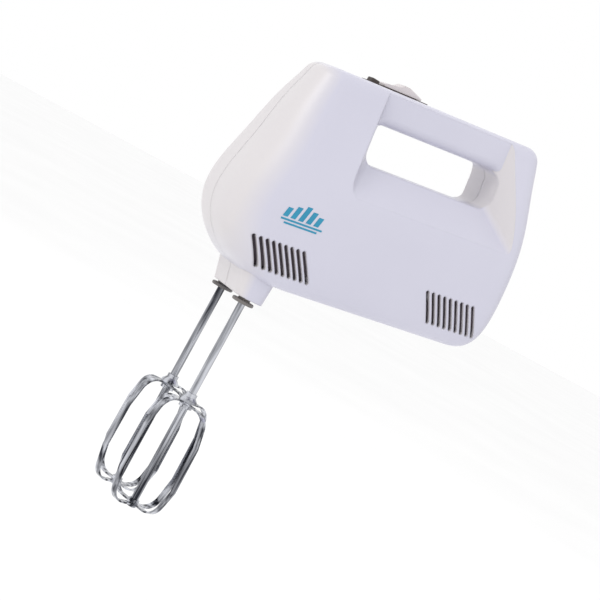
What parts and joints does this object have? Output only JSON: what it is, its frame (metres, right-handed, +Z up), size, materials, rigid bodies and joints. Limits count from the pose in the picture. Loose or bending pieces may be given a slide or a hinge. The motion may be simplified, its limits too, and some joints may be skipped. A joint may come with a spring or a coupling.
{
  "type": "hand mixer",
  "caption": "Hand-held electric food mixer with a closed-loop grip, slide speed switch, worm-geared motor and a pair of chrome strip beaters that lift out.",
  "frame": {"origin": "on the floor under the middle of the bounding box, at the tips of the beaters", "axes": "+Z up along the beater stems, -X towards the nose that carries the beaters, -Y the left flank, seen from behind the grip"},
  "size_m": [0.2123, 0.0882, 0.3303],
  "materials": {
    "shell_white": "satin, slightly lavender white",
    "plate_dark": "fine matt dark grey",
    "slider_grey": "satin pale grey",
    "nub_dark": "matt dark",
    "collar_dark": "matt dark nylon",
    "chrome": "bright plated wire and strip",
    "steel": "ground steel",
    "lamination": "stacked sheet",
    "copper": "enamelled copper",
    "bronze": "sintered bronze",
    "nylon": "natural nylon",
    "frame_black": "glass-filled nylon",
    "carbon": "pressed carbon",
    "board_green": "coated board",
    "film_cap": "dipped film",
    "rubber_black": "soft black rubber",
    "wire_grey": "insulated wire",
    "screen_black": "fine dark mesh"
  },
  "bodies": {
    "housing": {"left_housing": "shell_white", "right_housing": "shell_white", "housing_screws": "steel", "switch_plate": "plate_dark", "switch_body": "frame_black", "switch_terminals": "bronze", "gear_frame": "frame_black", "gear_lid": "frame_black", "lid_screws": "steel", "spindle_bushes": "bronze", "boss_bushes": "bronze", "shaft_bearings": "bronze", "stator_core": "lamination", "field_coils": "copper", "rear_bracket": "frame_black", "motor_bolts": "steel", "brush_holders": "bronze", "carbon_brushes": "carbon", "brush_springs": "steel", "eject_spring": "steel", "cord_gland": "rubber_black", "vent_screens": "screen_black", "circuit_board": "board_green", "capacitor": "film_cap", "board_parts": "frame_black", "lead_wires": "wire_grey"},
    "rotor": {"motor_shaft": "steel", "worm": "steel", "armature_core": "lamination", "armature_windings": "copper", "commutator": "copper", "cooling_fan": "nylon"},
    "left_drive": {"left_worm_wheel": "nylon", "left_spindle": "steel"},
    "right_drive": {"right_worm_wheel": "nylon", "right_spindle": "steel"},
    "left_beater": {"left_beater_stem": "chrome", "left_beater_collar": "collar_dark", "left_beater_hub": "chrome", "left_beater_blades": "chrome"},
    "right_beater": {"right_beater_stem": "chrome", "right_beater_collar": "collar_dark", "right_beater_hub": "chrome", "right_beater_blades": "chrome"},
    "slider": {"speed_slider": "slider_grey"},
    "ejector": {"eject_button": "nub_dark", "eject_yoke": "nylon"}
  },
  "joints": [
    {"name": "motor_spin", "type": "hinge", "parent": "housing", "child": "rotor", "pos_m": [-0.0031, 0, 0.215], "axis": [1, 0, 0], "continuous": true},
    {"name": "left_drive_spin", "type": "hinge", "parent": "housing", "child": "left_drive", "pos_m": [-0.0591, -0.019, 0.2], "axis": [0, 0, 1], "continuous": true},
    {"name": "right_drive_spin", "type": "hinge", "parent": "housing", "child": "right_drive", "pos_m": [-0.0591, 0.019, 0.2], "axis": [0, 0, 1], "continuous": true},
    {"name": "left_beater_release", "type": "slide", "parent": "left_drive", "child": "left_beater", "axis": [0, 0, -1], "range_m": [0, 0.07]},
    {"name": "right_beater_release", "type": "slide", "parent": "right_drive", "child": "right_beater", "axis": [0, 0, -1], "range_m": [0, 0.07]},
    {"name": "speed_slide", "type": "slide", "parent": "housing", "child": "slider", "axis": [0.9903, 0, 0.1392], "range_m": [-0.003, 0.006]},
    {"name": "eject_press", "type": "slide", "parent": "housing", "child": "ejector", "axis": [0, 0, -1], "range_m": [0, 0.005], "stiffness_N_per_m": 400, "springref_m": -0.003, "deforming": ["eject_spring"]}
  ],
  "couplings": [
    {"joint": "left_drive_spin", "follows": "motor_spin", "ratio": 0.033333},
    {"joint": "right_drive_spin", "follows": "motor_spin", "ratio": -0.033333}
  ]
}
